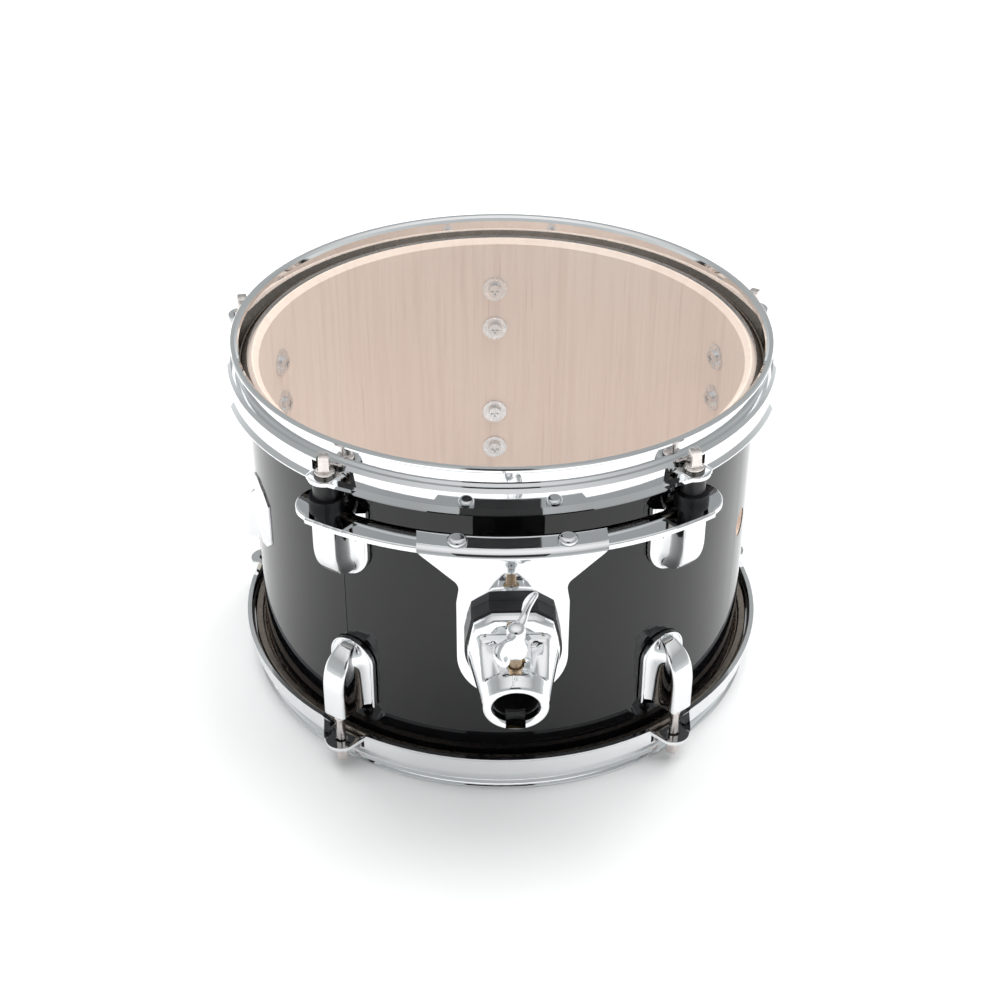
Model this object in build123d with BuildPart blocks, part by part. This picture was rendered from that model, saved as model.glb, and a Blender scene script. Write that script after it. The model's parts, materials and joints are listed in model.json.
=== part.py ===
from build123d import *
from math import cos, sin, sqrt, radians
import os

# A suspended 10 x 6.5 inch tom.  Millimetres, +Z up.  The origin is on the drum's axis in the
# plane of the bottom hoop's lip, and the arm mount faces -Y, the front.

os.makedirs("parts", exist_ok=True)

# ---- Shell and heads -------------------------------------------------------------------------
SHELL_R = 127.0
SHELL_T = 6.4
SHELL_DEPTH = 165.0
RIM_RISE = 10.0                                  # lip of a hoop beyond its drum head
MID = SHELL_DEPTH / 2 + RIM_RISE                 # half-way height of the drum
EDGE = MID + SHELL_DEPTH / 2                     # top bearing edge, where the head rests
INNER_R = SHELL_R - SHELL_T
APEX_R = 123.2                                   # highest line of the bearing edge
WRAP_R = 127.5
WRAP_HALF = 78.5
SEAM_ANGLE = -37.1
VENT_R = 7.2
VENT_ANGLE = 68.3
VENT_Z = 97.0
BADGE_ANGLE = -72.0
BADGE_Z = 103.0
BADGE_W = 33.0
BADGE_H = 38.0
FILM_T = 0.3
FILM_R = 126.1
COLLAR_R = 128.9                                 # upright collar inside the flesh hoop
FLESH_IN = 129.1
FLESH_OUT = 133.35                               # 10.5 inch across
FLESH_LOW = 166.3
FLESH_TOP = 173.4

# ---- Hoops -----------------------------------------------------------------------------------
SHEET = 1.8
WALL_R = 131.5                                   # outside of the hoop's upper wall
SKIRT_R = 135.8                                  # outside of its skirt
CURL_R = 137.6
LEDGE_TOP = 175.3
SKIRT_LOW = 163.0
LIP_R = 133.9
LIP_TOP = 2 * MID
EAR_TOP = 170.6
EAR_R = 7.8                                      # rounded end of an ear, about its rod
EAR_FLAT = 5.6                                   # an ear is level this far to each side
EAR_HALF = 15.0                                  # and meets the curl of the skirt here
EAR_HOLE_R = 3.2
POCKET_R = 134.3                                 # skirt pressed in behind the rods' heads
POCKET_HALF = 8.2

# ---- Tension rods ----------------------------------------------------------------------------
ROD_CIRCLE = 139.6
ROD_ANGLES = (-36.0, 36.0, 108.0, 180.0, -108.0)
HEAD_TURNS = (40.0, -24.0, 38.0, 5.0, 27.0)      # how far each square head stands turned
THREAD_R = 2.72
SHANK_R = 2.35
COLLAR_FLANGE_R = 4.6
COLLAR_T = 1.2
HEAD_SIDE = 5.3
HEAD_TOP = 181.1
ROD_TIP = 127.0
WASHER_T = 1.0
WASHER_R = 5.0
WASHER_HOLE_R = 3.0

# ---- Lugs ------------------------------------------------------------------------------------
LUG_LOW = MID + 20.0
LUG_TOP = MID + 57.0
LUG_FLANGE_TOP = MID + 54.0
LUG_FLANGE_HALF = 12.8
LUG_FLANGE_R = 130.2
LUG_SEAT_R = 128.05
LUG_FACE_R = 146.2
LUG_FACE_HALF = 6.0
LUG_ROOT_HALF = 8.6
LUG_STRAIGHT_LOW = 132.0                         # below this the lug's face curves to the shell
CAVITY_R = 4.6
NUT_R = 4.5
NUT_HOLE_R = THREAD_R + 0.06
NUT_FLANGE_R = 5.3
SCREW_OFFSETS = (27.7, 52.4)                     # lug screws from mid height
SCREW_R = 2.0
INNER_WASHER_R = 7.0

# ---- Suspension band and plate ---------------------------------------------------------------
BAND_TOP = 156.0
BAND_T = 2.7
BAND_IN = 140.8
BAND_OUT = 155.2
PAD_R = 14.0
GROMMET_HOLE_R = 4.6
GROMMET_BORE_R = 3.1
GROMMET_LIP = 1.3                                # below the band, clear of the nuts as hoops slide
PLATE_T = 2.3
PLATE_FACE = 158.8                               # distance of the plate's front from the axis
PLATE_REAR = 145.9
BEND_R = 4.0
PLATE_HALF = 24.6
PLATE_WING = 41.5
PLATE_END_Z = 103.5                              # centre of the plate's round lower end
BAND_SCREW_X = 24.0

# ---- Arm receiver ----------------------------------------------------------------------------
PITCH = 11.0                                     # the arm's tube enters pointing down this much
GASKET_T = 7.0
BORE_R = 9.65                                    # takes a 19 mm (3/4 inch) tube
SLEEVE_R = 11.15
SLEEVE_START = 5.05                              # sleeve's front end, behind the nose
SLEEVE_L = 28.0
NOSE_R = 14.1
NOSE_Y = -199.1
NOSE_Z = 106.0
BASE_R = 20.4
BASE_T = 5.5
SPINE_HALF = 7.4
SPINE_RISE = 13.3
SHOE_X = 7.0
SHOE_L = 9.0
STUD_R = 3.0
STUD_BACK = 15.1                                 # stud's axis behind the nose, along the bore
WING_RISE = 20.0                                 # middle of the wing above the spine
WING_HALF = 20.5

tilt = radians(PITCH)
NOSE = Plane(origin=(0, NOSE_Y, NOSE_Z), x_dir=(1, 0, 0), z_dir=(0, -cos(tilt), -sin(tilt)))
SEAT = PLATE_FACE + GASKET_T                      # the body's flat back, from the drum's axis
BORE_BACK = (-NOSE_Y - SEAT) / cos(tilt)          # the nose's face to that back, along the bore
BASE_Z = NOSE_Z + BORE_BACK * sin(tilt)           # where the bore's axis meets the back
STUD = Plane(origin=NOSE.from_local_coords((0, 0, -STUD_BACK)), x_dir=(1, 0, 0),
             z_dir=(0, -sin(tilt), cos(tilt)))
BOLT_SPOTS = ((-12.6, BASE_Z + 10.4), (12.6, BASE_Z + 10.4), (0.0, BASE_Z - 16.3))

TOP = Plane.XY.offset(MID)                       # mirror plane between the two heads
FRONT = Plane(origin=(0, 0, 0), x_dir=(1, 0, 0), z_dir=(0, -1, 0))


def side_plane(angle, radius, height):
    """A plane on the drum's side, facing outwards: x along the side, y up."""
    outward = (sin(radians(angle)), -cos(radians(angle)), 0)
    tangent = (cos(radians(angle)), sin(radians(angle)), 0)
    origin = (radius * outward[0], radius * outward[1], height)
    return Plane(origin=origin, x_dir=tangent, z_dir=outward)


def screw_planes(radius, side):
    """The lug screws' planes at one head: side is 1 at the top head and -1 at the bottom."""
    return [side_plane(angle, radius, MID + side * offset)
            for angle in ROD_ANGLES for offset in SCREW_OFFSETS]


# ---- Shell: plywood tube with 45 degree bearing edges ----------------------------------------
low_edge = 2 * MID - EDGE
with BuildPart() as shell:
    with BuildSketch(Plane.XZ):
        with BuildLine():
            bevel = APEX_R - INNER_R
            Polyline(
                (INNER_R, EDGE - bevel), (APEX_R, EDGE), (APEX_R + 0.6, EDGE), (SHELL_R, EDGE - 3.2),
                (SHELL_R, low_edge + 3.2), (APEX_R + 0.6, low_edge), (APEX_R, low_edge),
                (INNER_R, low_edge + bevel), close=True)
        make_face()
    revolve(axis=Axis.Z)
    with Locations(*screw_planes(SHELL_R + 2, 1), *screw_planes(SHELL_R + 2, -1)):
        Hole(SCREW_R + 0.3, depth=SHELL_T + 6)
    with Locations(side_plane(VENT_ANGLE, SHELL_R + 2, VENT_Z)):
        Hole(VENT_R, depth=SHELL_T + 6)
shell.part.label = "shell"
export_step(shell.part, "parts/shell.step")

# ---- Wrap: gloss sheet around the shell, with its butt seam ----------------------------------
with BuildPart() as shell_wrap:
    with BuildSketch(Plane.XY.offset(MID)):
        Circle(WRAP_R)
        Circle(SHELL_R + 0.03, mode=Mode.SUBTRACT)
    extrude(amount=WRAP_HALF, both=True)
    with Locations(*screw_planes(WRAP_R + 2, 1), *screw_planes(WRAP_R + 2, -1)):
        Hole(SCREW_R + 0.3, depth=6)
    with Locations(side_plane(VENT_ANGLE, WRAP_R + 2, VENT_Z)):
        Hole(VENT_R, depth=6)
    with Locations(side_plane(SEAM_ANGLE, WRAP_R, MID)):
        Box(0.35, 2 * WRAP_HALF + 2, 0.5, mode=Mode.SUBTRACT)
shell_wrap.part.label = "shell_wrap"
export_step(shell_wrap.part, "parts/shell_wrap.step")

# ---- Badge: plain shield with a raised border -------------------------------------------------
BADGE_IN = WRAP_R + 0.05
with BuildPart() as badge:
    with BuildSketch(side_plane(BADGE_ANGLE, 0, BADGE_Z)):
        half_w, half_h = BADGE_W / 2, BADGE_H / 2
        Polygon(
            (0, half_h), (half_w * 0.62, half_h * 0.86), (half_w, half_h * 0.62),
            (half_w, -half_h * 0.55), (half_w * 0.55, -half_h * 0.86), (0, -half_h),
            (-half_w * 0.55, -half_h * 0.86), (-half_w, -half_h * 0.55),
            (-half_w, half_h * 0.62), (-half_w * 0.62, half_h * 0.86), align=None)
    extrude(amount=WRAP_R + 5)
    with BuildSketch(Plane.XY):
        Circle(BADGE_IN + 0.7)
        Circle(BADGE_IN, mode=Mode.SUBTRACT)
    extrude(amount=2 * MID, mode=Mode.INTERSECT)
badge.part.label = "badge"
export_step(badge.part, "parts/badge.step")

# ---- Drum heads: clear film, and the flesh hoop whose collar is bonded to its edge -----------
with BuildPart() as top_head_film:
    with BuildSketch(Plane.XY.offset(EDGE + 0.02)):
        Circle(FILM_R)
    extrude(amount=FILM_T)
with BuildPart() as top_head_hoop:
    with BuildSketch(Plane.XZ):
        with Locations(((FLESH_IN + FLESH_OUT) / 2, (FLESH_LOW + FLESH_TOP) / 2)):
            RectangleRounded(FLESH_OUT - FLESH_IN, FLESH_TOP - FLESH_LOW, 0.9)
        with BuildLine():
            Polyline(
                (FILM_R + 0.03, EDGE + 0.02), (COLLAR_R - FILM_T, EDGE - 2.6),
                (COLLAR_R - FILM_T, FLESH_LOW + 2), (FLESH_IN + 1, FLESH_LOW + 2),
                (FLESH_IN + 1, FLESH_LOW + 3), (COLLAR_R, FLESH_LOW + 3),
                (COLLAR_R, EDGE - 2.5), (FILM_R + 0.13, EDGE + 0.02 + FILM_T), close=True)
        make_face()
    revolve(axis=Axis.Z)

# ---- Hoop: triple-flanged sheet, with an ear at each tension rod ------------------------------
def skirt_reach(across, radius):
    """How far a circle about the axis reaches outwards at a distance across from a rod."""
    return sqrt(radius * radius - across * across)


def ear_top(across):
    """Height of the ear's upper face: level at the rod, then a wave down to the curl."""
    t = max(abs(across) - EAR_FLAT, 0) / (EAR_HALF - EAR_FLAT)
    return EAR_TOP - (EAR_TOP - SKIRT_LOW - SHEET - 0.2) * t * t * (3 - 2 * t)


def ear_reach(across):
    """How far out the ear goes: round about the rod, then a flare that dies into the curl."""
    t = max(abs(across) - EAR_FLAT, 0) / (EAR_HALF - EAR_FLAT)
    tip = ROD_CIRCLE + sqrt(EAR_R**2 - EAR_FLAT**2)
    inside_curl = CURL_R - 1.2 * t
    flare = tip - skirt_reach(EAR_FLAT, CURL_R)
    return skirt_reach(across, inside_curl) + flare * (1 - t * t * (3 - 2 * t))


def station_plane(across):
    """An upright plane at a distance across from the front rod: x outwards, y up."""
    return Plane(origin=(across, 0, 0), x_dir=(0, -1, 0), z_dir=(-1, 0, 0))


stations = [EAR_FLAT + (EAR_HALF - EAR_FLAT) * step / 6 for step in range(7)]
skirt_in = SKIRT_R - SHEET
with BuildPart() as ear_wave:                     # one side of the ear
    for across in stations:
        start = skirt_reach(across, SKIRT_R - SHEET / 2)
        with BuildSketch(station_plane(across)):
            with Locations(((start + ear_reach(across)) / 2, ear_top(across) - SHEET / 2)):
                Rectangle(ear_reach(across) - start, SHEET)
    loft()
with BuildPart() as ear:
    with BuildSketch(Plane.XY.offset(EAR_TOP - SHEET)):
        with Locations((0, -ROD_CIRCLE)):
            Circle(EAR_R)
        with Locations((0, -(POCKET_R + ROD_CIRCLE + 4) / 2)):
            Rectangle(2 * EAR_FLAT, ROD_CIRCLE + 4 - POCKET_R)
        with Locations((0, -POCKET_R - 20)):
            Rectangle(2 * EAR_FLAT, 40, mode=Mode.INTERSECT)
    extrude(amount=SHEET)
    add(ear_wave.part)
    add(ear_wave.part.mirror(Plane.YZ))
with BuildPart() as notch_side:                   # skirt metal that the ear is bent from
    for across in stations:
        start = skirt_reach(across, skirt_in) - 0.4
        with BuildSketch(station_plane(across)):
            drop = 0.5 * (across - EAR_FLAT) / (EAR_HALF - EAR_FLAT)
            with Locations((start + 8, ear_top(across) - SHEET - drop - 10)):
                Rectangle(16, 20)
    loft()
with BuildPart() as ear_cut:
    with Locations((0, -skirt_in - 8, EAR_TOP - SHEET - 10)):
        Box(2 * EAR_FLAT, 17, 20)
    add(notch_side.part)
    add(notch_side.part.mirror(Plane.YZ))
    with Locations((0, -POCKET_R - 8, EAR_TOP + 4)):
        Box(2 * POCKET_HALF, 16, 8 + SHEET)
    for side in (-1, 1):                          # slot between the skirt's end and the ear
        with Locations((side * (POCKET_HALF + 1.2), -skirt_in - 2, EAR_TOP - 0.6)):
            Box(2.8, 6, 5.4)

with BuildPart() as top_hoop:
    with BuildSketch(Plane.XZ):
        with BuildLine():
            inner = WALL_R - SHEET
            Polyline(
                (inner, LEDGE_TOP - SHEET), (inner, LIP_TOP - 2.6), (inner + 0.5, LIP_TOP - 1.0),
                (inner + 1.7, LIP_TOP), (LIP_R - 0.5, LIP_TOP), (LIP_R, LIP_TOP - 0.6),
                (LIP_R, LIP_TOP - 1.5), (WALL_R + 0.9, LIP_TOP - 2.1), (WALL_R, LIP_TOP - 3.4),
                (WALL_R, LEDGE_TOP + 1.0), (WALL_R + 1.0, LEDGE_TOP), (SKIRT_R - 1.6, LEDGE_TOP),
                (SKIRT_R, LEDGE_TOP - 1.6), (SKIRT_R, SKIRT_LOW + 3.0), (CURL_R, SKIRT_LOW + 0.6),
                (CURL_R, SKIRT_LOW), (SKIRT_R - 0.4, SKIRT_LOW), (skirt_in, SKIRT_LOW + 2.6),
                (skirt_in, LEDGE_TOP - SHEET), close=True)
        make_face()
    revolve(axis=Axis.Z)
    for angle in ROD_ANGLES:
        add(ear_cut.part.rotate(Axis.Z, angle), mode=Mode.SUBTRACT)
    for angle in ROD_ANGLES:
        add(ear.part.rotate(Axis.Z, angle))
    with BuildSketch(Plane.XY.offset(SKIRT_LOW - 5)):
        with PolarLocations(ROD_CIRCLE, len(ROD_ANGLES), start_angle=ROD_ANGLES[0] - 90):
            Circle(EAR_HOLE_R)
    extrude(amount=LEDGE_TOP - SHEET - SKIRT_LOW + 4, mode=Mode.SUBTRACT)

# ---- Tension rods, their washers --------------------------------------------------------------
COLLAR_LOW = EAR_TOP + WASHER_T
THREAD_END = LUG_TOP + 6.0


def make_rod(head_turn):
    """A square-headed rod at the front rod position, head up."""
    with BuildPart() as rod:
        with BuildSketch(Plane.XY.offset(ROD_TIP)):
            with Locations((0, -ROD_CIRCLE)):
                Circle(THREAD_R)
        extrude(amount=THREAD_END - ROD_TIP)
        with BuildSketch(Plane.XY.offset(THREAD_END)):
            with Locations((0, -ROD_CIRCLE)):
                Circle(SHANK_R)
        extrude(amount=COLLAR_LOW - THREAD_END)
        with BuildSketch(Plane.XY.offset(COLLAR_LOW)):
            with Locations((0, -ROD_CIRCLE)):
                Circle(COLLAR_FLANGE_R)
        extrude(amount=COLLAR_T)
        with BuildSketch(Plane.XY.offset(COLLAR_LOW + COLLAR_T)):
            with Locations((0, -ROD_CIRCLE)):
                Rectangle(HEAD_SIDE, HEAD_SIDE, rotation=head_turn)
        extrude(amount=HEAD_TOP - COLLAR_LOW - COLLAR_T)
        chamfer(rod.faces().sort_by(Axis.Z)[-1].edges(), 0.6)
        chamfer(rod.faces().sort_by(Axis.Z)[0].edges(), 0.8)
    return rod.part


with BuildPart() as top_rod_washers:
    with BuildSketch(Plane.XY.offset(EAR_TOP)):
        with PolarLocations(ROD_CIRCLE, len(ROD_ANGLES), start_angle=ROD_ANGLES[0] - 90):
            Circle(WASHER_R)
            Circle(WASHER_HOLE_R, mode=Mode.SUBTRACT)
    extrude(amount=WASHER_T)

# ---- Lug: arched single-ended casting ---------------------------------------------------------
with BuildPart() as lug_loaf:
    with BuildSketch(Plane.YZ):
        with BuildLine():
            root = LUG_SEAT_R + 0.8
            Line((-root, LUG_TOP), (-LUG_FACE_R, LUG_TOP))
            Line((-LUG_FACE_R, LUG_TOP), (-LUG_FACE_R, LUG_STRAIGHT_LOW))
            EllipticalCenterArc(
                (-root, LUG_STRAIGHT_LOW), LUG_FACE_R - root, LUG_STRAIGHT_LOW - LUG_LOW - 0.8,
                start_angle=180, arc_size=90)
            Line((-root, LUG_LOW + 0.8), (-root, LUG_TOP))
        make_face()
    extrude(amount=LUG_ROOT_HALF, both=True)
    with BuildSketch(Plane.XY):
        Polygon((-LUG_ROOT_HALF, -LUG_SEAT_R), (LUG_ROOT_HALF, -LUG_SEAT_R),
                (LUG_FACE_HALF, -LUG_FACE_R - 1), (-LUG_FACE_HALF, -LUG_FACE_R - 1), align=None)
    extrude(amount=2 * MID, mode=Mode.INTERSECT)
    long_edges = lug_loaf.edges().filter_by(
        lambda e: abs(e.center().X) > LUG_FACE_HALF - 1 and e.center().Y < -135
        and e.bounding_box().size.Z > 10)
    fillet(long_edges, 1.6)

with BuildPart() as lug_master:
    with BuildSketch(FRONT):
        arch_z = LUG_LOW + LUG_FLANGE_HALF
        with Locations((0, arch_z)):
            Circle(LUG_FLANGE_HALF)
        with Locations((0, (arch_z + LUG_FLANGE_TOP) / 2)):
            Rectangle(2 * LUG_FLANGE_HALF, LUG_FLANGE_TOP - arch_z)
    extrude(amount=LUG_FACE_R)
    with BuildSketch(Plane.XY):
        Circle(LUG_FLANGE_R)
        Circle(LUG_SEAT_R, mode=Mode.SUBTRACT)
    extrude(amount=2 * MID, mode=Mode.INTERSECT)
    add(lug_loaf.part)
    with BuildSketch(Plane.XY.offset(LUG_TOP)):
        with Locations((0, -ROD_CIRCLE)):
            Circle(CAVITY_R)
    extrude(amount=-(LUG_TOP - 130.5), mode=Mode.SUBTRACT)
    with BuildSketch(Plane.XY.offset(LUG_TOP)):
        with Locations((0, -ROD_CIRCLE)):
            Circle(THREAD_R + 0.5)
    extrude(amount=-(LUG_TOP - 123.6), mode=Mode.SUBTRACT)
    with Locations(*[side_plane(0, LUG_SEAT_R - 1, MID + offset) for offset in SCREW_OFFSETS]):
        Cylinder(SCREW_R + 0.05, 7.0, align=(Align.CENTER, Align.CENTER, Align.MIN),
                 mode=Mode.SUBTRACT)

with BuildPart() as lug_gasket:
    with BuildSketch(FRONT):
        with Locations((0, arch_z)):
            Circle(LUG_FLANGE_HALF - 0.3)
        with Locations((0, (arch_z + LUG_FLANGE_TOP) / 2)):
            Rectangle(2 * LUG_FLANGE_HALF - 0.6, LUG_FLANGE_TOP - arch_z - 0.3)
    extrude(amount=LUG_FACE_R)
    with BuildSketch(Plane.XY):
        Circle(LUG_SEAT_R - 0.03)
        Circle(WRAP_R + 0.03, mode=Mode.SUBTRACT)
    extrude(amount=2 * MID, mode=Mode.INTERSECT)
    with Locations(*[side_plane(0, SHELL_R, MID + offset) for offset in SCREW_OFFSETS]):
        Cylinder(SCREW_R + 0.3, 6.0, mode=Mode.SUBTRACT)

# ---- Swivel nuts, lug screws and their inner washers -----------------------------------------
with BuildPart() as top_swivel_nuts:
    with BuildSketch(Plane.XY.offset(131.0)):
        with PolarLocations(ROD_CIRCLE, len(ROD_ANGLES), start_angle=ROD_ANGLES[0] - 90):
            Circle(NUT_R)
            Circle(NUT_HOLE_R, mode=Mode.SUBTRACT)
    extrude(amount=LUG_TOP + 0.02 - 131.0)
    with BuildSketch(Plane.XY.offset(LUG_TOP + 0.02)):
        with PolarLocations(ROD_CIRCLE, len(ROD_ANGLES), start_angle=ROD_ANGLES[0] - 90):
            Circle(NUT_FLANGE_R)
            Circle(NUT_HOLE_R, mode=Mode.SUBTRACT)
    extrude(amount=1.0)

WASHER_SEAT = INNER_R - 0.3
with BuildPart() as top_lug_washers:
    for plane in screw_planes(WASHER_SEAT, 1):
        with BuildSketch(plane):
            Circle(INNER_WASHER_R)
            Circle(SCREW_R + 0.2, mode=Mode.SUBTRACT)
        extrude(amount=-1.0)

with BuildPart() as top_lug_screws:
    for plane in screw_planes(WASHER_SEAT - 1.03, 1):
        with BuildSketch(plane):
            Circle(SCREW_R)
        extrude(amount=14.0)
        with BuildSketch(plane):
            Circle(3.8)
        extrude(amount=-2.4)
        with BuildSketch(plane.offset(-2.4)):
            Rectangle(4.6, 0.9)
            Rectangle(0.9, 4.6)
        extrude(amount=1.3, mode=Mode.SUBTRACT)

# ---- Bottom side: every piece of the top head, mirrored --------------------------------------
for name, source in [("head_film", top_head_film), ("head_hoop", top_head_hoop),
                     ("hoop", top_hoop), ("rod_washers", top_rod_washers),
                     ("swivel_nuts", top_swivel_nuts), ("lug_washers", top_lug_washers),
                     ("lug_screws", top_lug_screws)]:
    source.part.label = "top_" + name
    export_step(source.part, f"parts/top_{name}.step")
    with BuildPart() as bottom:
        add(source.part.mirror(TOP))
    bottom.part.label = "bottom_" + name
    export_step(bottom.part, f"parts/bottom_{name}.step")

for number, (angle, turn) in enumerate(zip(ROD_ANGLES, HEAD_TURNS), start=1):
    with BuildPart() as top_rod:
        add(make_rod(turn).rotate(Axis.Z, angle))
    top_rod.part.label = f"top_rod_{number}"
    export_step(top_rod.part, f"parts/top_rod_{number}.step")

    with BuildPart() as bottom_rod:
        add(make_rod(-turn).rotate(Axis.Z, angle).mirror(TOP))
    bottom_rod.part.label = f"bottom_rod_{number}"
    export_step(bottom_rod.part, f"parts/bottom_rod_{number}.step")

    with BuildPart() as top_lug:
        add(lug_master.part.rotate(Axis.Z, angle))
    top_lug.part.label = f"top_lug_{number}"
    export_step(top_lug.part, f"parts/top_lug_{number}.step")

    with BuildPart() as bottom_lug:
        add(lug_master.part.rotate(Axis.Z, angle).mirror(TOP))
    bottom_lug.part.label = f"bottom_lug_{number}"
    export_step(bottom_lug.part, f"parts/bottom_lug_{number}.step")

with BuildPart() as lug_gaskets:
    for angle in ROD_ANGLES:
        add(lug_gasket.part.rotate(Axis.Z, angle))
        add(lug_gasket.part.rotate(Axis.Z, angle).mirror(TOP))
lug_gaskets.part.label = "lug_gaskets"
export_step(lug_gaskets.part, "parts/lug_gaskets.step")

# ---- Suspension band: flat bow hung from the two front rods -----------------------------------
band_span = abs(ROD_ANGLES[0])
sector = [(260 * sin(radians(a)), -260 * cos(radians(a))) for a in (-band_span, 0, band_span)]
with BuildPart() as suspension_band:
    with BuildSketch(Plane.XY.offset(BAND_TOP - BAND_T)):
        Circle(BAND_OUT)
        Circle(BAND_IN, mode=Mode.SUBTRACT)
        Polygon((0, 0), *sector, align=None, mode=Mode.INTERSECT)
        for angle in ROD_ANGLES[:2]:
            with Locations((ROD_CIRCLE * sin(radians(angle)), -ROD_CIRCLE * cos(radians(angle)))):
                Circle(PAD_R)
        offset(amount=4, kind=Kind.ARC)
        offset(amount=-4, kind=Kind.ARC)
        Circle(WRAP_R + 2.7, mode=Mode.SUBTRACT)
        for angle in ROD_ANGLES[:2]:
            with Locations((ROD_CIRCLE * sin(radians(angle)), -ROD_CIRCLE * cos(radians(angle)))):
                Circle(GROMMET_HOLE_R, mode=Mode.SUBTRACT)
        with Locations((-BAND_SCREW_X, -149.0), (BAND_SCREW_X, -149.0)):
            Circle(2.6, mode=Mode.SUBTRACT)
    extrude(amount=BAND_T)
    fillet(suspension_band.faces().sort_by(Axis.Z)[-1].outer_wire().edges(), 0.9)
suspension_band.part.label = "suspension_band"
export_step(suspension_band.part, "parts/suspension_band.step")

# ---- Rubber grommets between the front ears and the band ---------------------------------------
GROMMET_STEPS = [                                 # from, to, radius
    (BAND_TOP - BAND_T - GROMMET_LIP, BAND_TOP - BAND_T, 7.0), (BAND_TOP - BAND_T, BAND_TOP, 4.5),
    (BAND_TOP, BAND_TOP + 3.8, 8.0), (BAND_TOP + 3.8, EAR_TOP - SHEET - 0.03, 5.9)]
for side, angle in (("left", ROD_ANGLES[0]), ("right", ROD_ANGLES[1])):
    place = (ROD_CIRCLE * sin(radians(angle)), -ROD_CIRCLE * cos(radians(angle)))
    with BuildPart() as grommet:
        for low, high, radius in GROMMET_STEPS:
            with BuildSketch(Plane.XY.offset(low)):
                with Locations(place):
                    Circle(radius)
                    Circle(GROMMET_BORE_R, mode=Mode.SUBTRACT)
            extrude(amount=high - low)
    grommet.part.label = f"grommet_{side}"
    export_step(grommet.part, f"parts/grommet_{side}.step")

# ---- Mount plate: its top flange lies on the band and its tongue hangs in front ----------------
PLATE_TOP = BAND_TOP + PLATE_T
PLATE_BACK = PLATE_FACE - PLATE_T
with BuildPart() as plate_bend:                   # top flange and bend, curved like the band
    with BuildSketch(Plane.XZ):
        with BuildLine():
            Line((PLATE_REAR, BAND_TOP + 0.02), (PLATE_REAR, PLATE_TOP))
            Line((PLATE_REAR, PLATE_TOP), (PLATE_FACE - BEND_R, PLATE_TOP))
            RadiusArc((PLATE_FACE - BEND_R, PLATE_TOP), (PLATE_FACE, PLATE_TOP - BEND_R), BEND_R)
            Line((PLATE_FACE, PLATE_TOP - BEND_R), (PLATE_FACE, 150.0))
            Line((PLATE_FACE, 150.0), (PLATE_BACK, 150.0))
            Line((PLATE_BACK, 150.0), (PLATE_BACK, BAND_TOP - 0.6))
            Line((PLATE_BACK, BAND_TOP - 0.6), (PLATE_BACK - 0.6, BAND_TOP + 0.02))
            Line((PLATE_BACK - 0.6, BAND_TOP + 0.02), (PLATE_REAR, BAND_TOP + 0.02))
        make_face()
    revolve(axis=Axis.Z, revolution_arc=40)
bend_start = -90 - 20                             # the revolve starts on +X


with BuildPart() as plate_tongue:                 # the curve dies away into a flat tongue
    for height, radius in ((150.0, PLATE_FACE), (142.0, 240.0), (134.0, 900.0), (126.0, 6000.0)):
        half = 44.0
        front = radius - sqrt(radius**2 - half**2) - PLATE_FACE
        back = radius - sqrt((radius - PLATE_T)**2 - half**2) - PLATE_FACE
        with BuildSketch(Plane.XY.offset(height)):
            with BuildLine():
                ThreePointArc((-half, front), (0, -PLATE_FACE), (half, front))
                Line((half, front), (half, back))
                ThreePointArc((half, back), (0, -PLATE_BACK), (-half, back))
                Line((-half, back), (-half, front))
            make_face()
    loft()
    extrude(plate_tongue.faces().sort_by(Axis.Z)[0], amount=126.0 - PLATE_END_Z + PLATE_HALF + 1)

with BuildPart() as mount_plate:
    with BuildSketch(FRONT) as plate_outline:
        with BuildLine():
            wing_z = PLATE_TOP - 2.2
            Polyline((-PLATE_HALF, PLATE_END_Z), (-PLATE_HALF, 133.0), (-PLATE_HALF + 1.4, 141.5),
                     (-PLATE_WING, wing_z), (-PLATE_WING, PLATE_TOP + 2),
                     (PLATE_WING, PLATE_TOP + 2), (PLATE_WING, wing_z),
                     (PLATE_HALF - 1.4, 141.5), (PLATE_HALF, 133.0), (PLATE_HALF, PLATE_END_Z))
            ThreePointArc((PLATE_HALF, PLATE_END_Z), (0, PLATE_END_Z - PLATE_HALF),
                          (-PLATE_HALF, PLATE_END_Z))
        make_face()
        waist = plate_outline.vertices().filter_by(lambda v: abs(v.Y - 141.5) < 0.1)
        fillet(waist, 5.0)
    extrude(amount=PLATE_FACE + 5)
    add(plate_tongue.part + plate_bend.part.rotate(Axis.Z, bend_start), mode=Mode.INTERSECT)
    with Locations((-BAND_SCREW_X, -149.0, PLATE_TOP), (BAND_SCREW_X, -149.0, PLATE_TOP)):
        Hole(2.6, depth=PLATE_T + 1)
    with BuildSketch(FRONT.offset(PLATE_BACK - 2)):
        with Locations(*BOLT_SPOTS):
            Circle(2.3)
    extrude(amount=PLATE_T + 4, mode=Mode.SUBTRACT)
mount_plate.part.label = "mount_plate"
export_step(mount_plate.part, "parts/mount_plate.step")

# ---- Screws and nuts that hold the plate to the band -------------------------------------------
band_screw_spots = ((-BAND_SCREW_X, -149.0), (BAND_SCREW_X, -149.0))
with BuildPart() as band_screws:
    for spot in band_screw_spots:
        with BuildSketch(Plane.XY.offset(PLATE_TOP)):
            with Locations(spot):
                Circle(4.6)
        extrude(amount=2.6)
        with BuildSketch(Plane.XY.offset(PLATE_TOP)):
            with Locations(spot):
                Circle(2.4)
        extrude(amount=-(PLATE_T + BAND_T + 3.6))
    fillet(band_screws.faces().group_by(Axis.Z)[-1].edges(), 2.1)
band_screws.part.label = "band_screws"
export_step(band_screws.part, "parts/band_screws.step")

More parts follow.
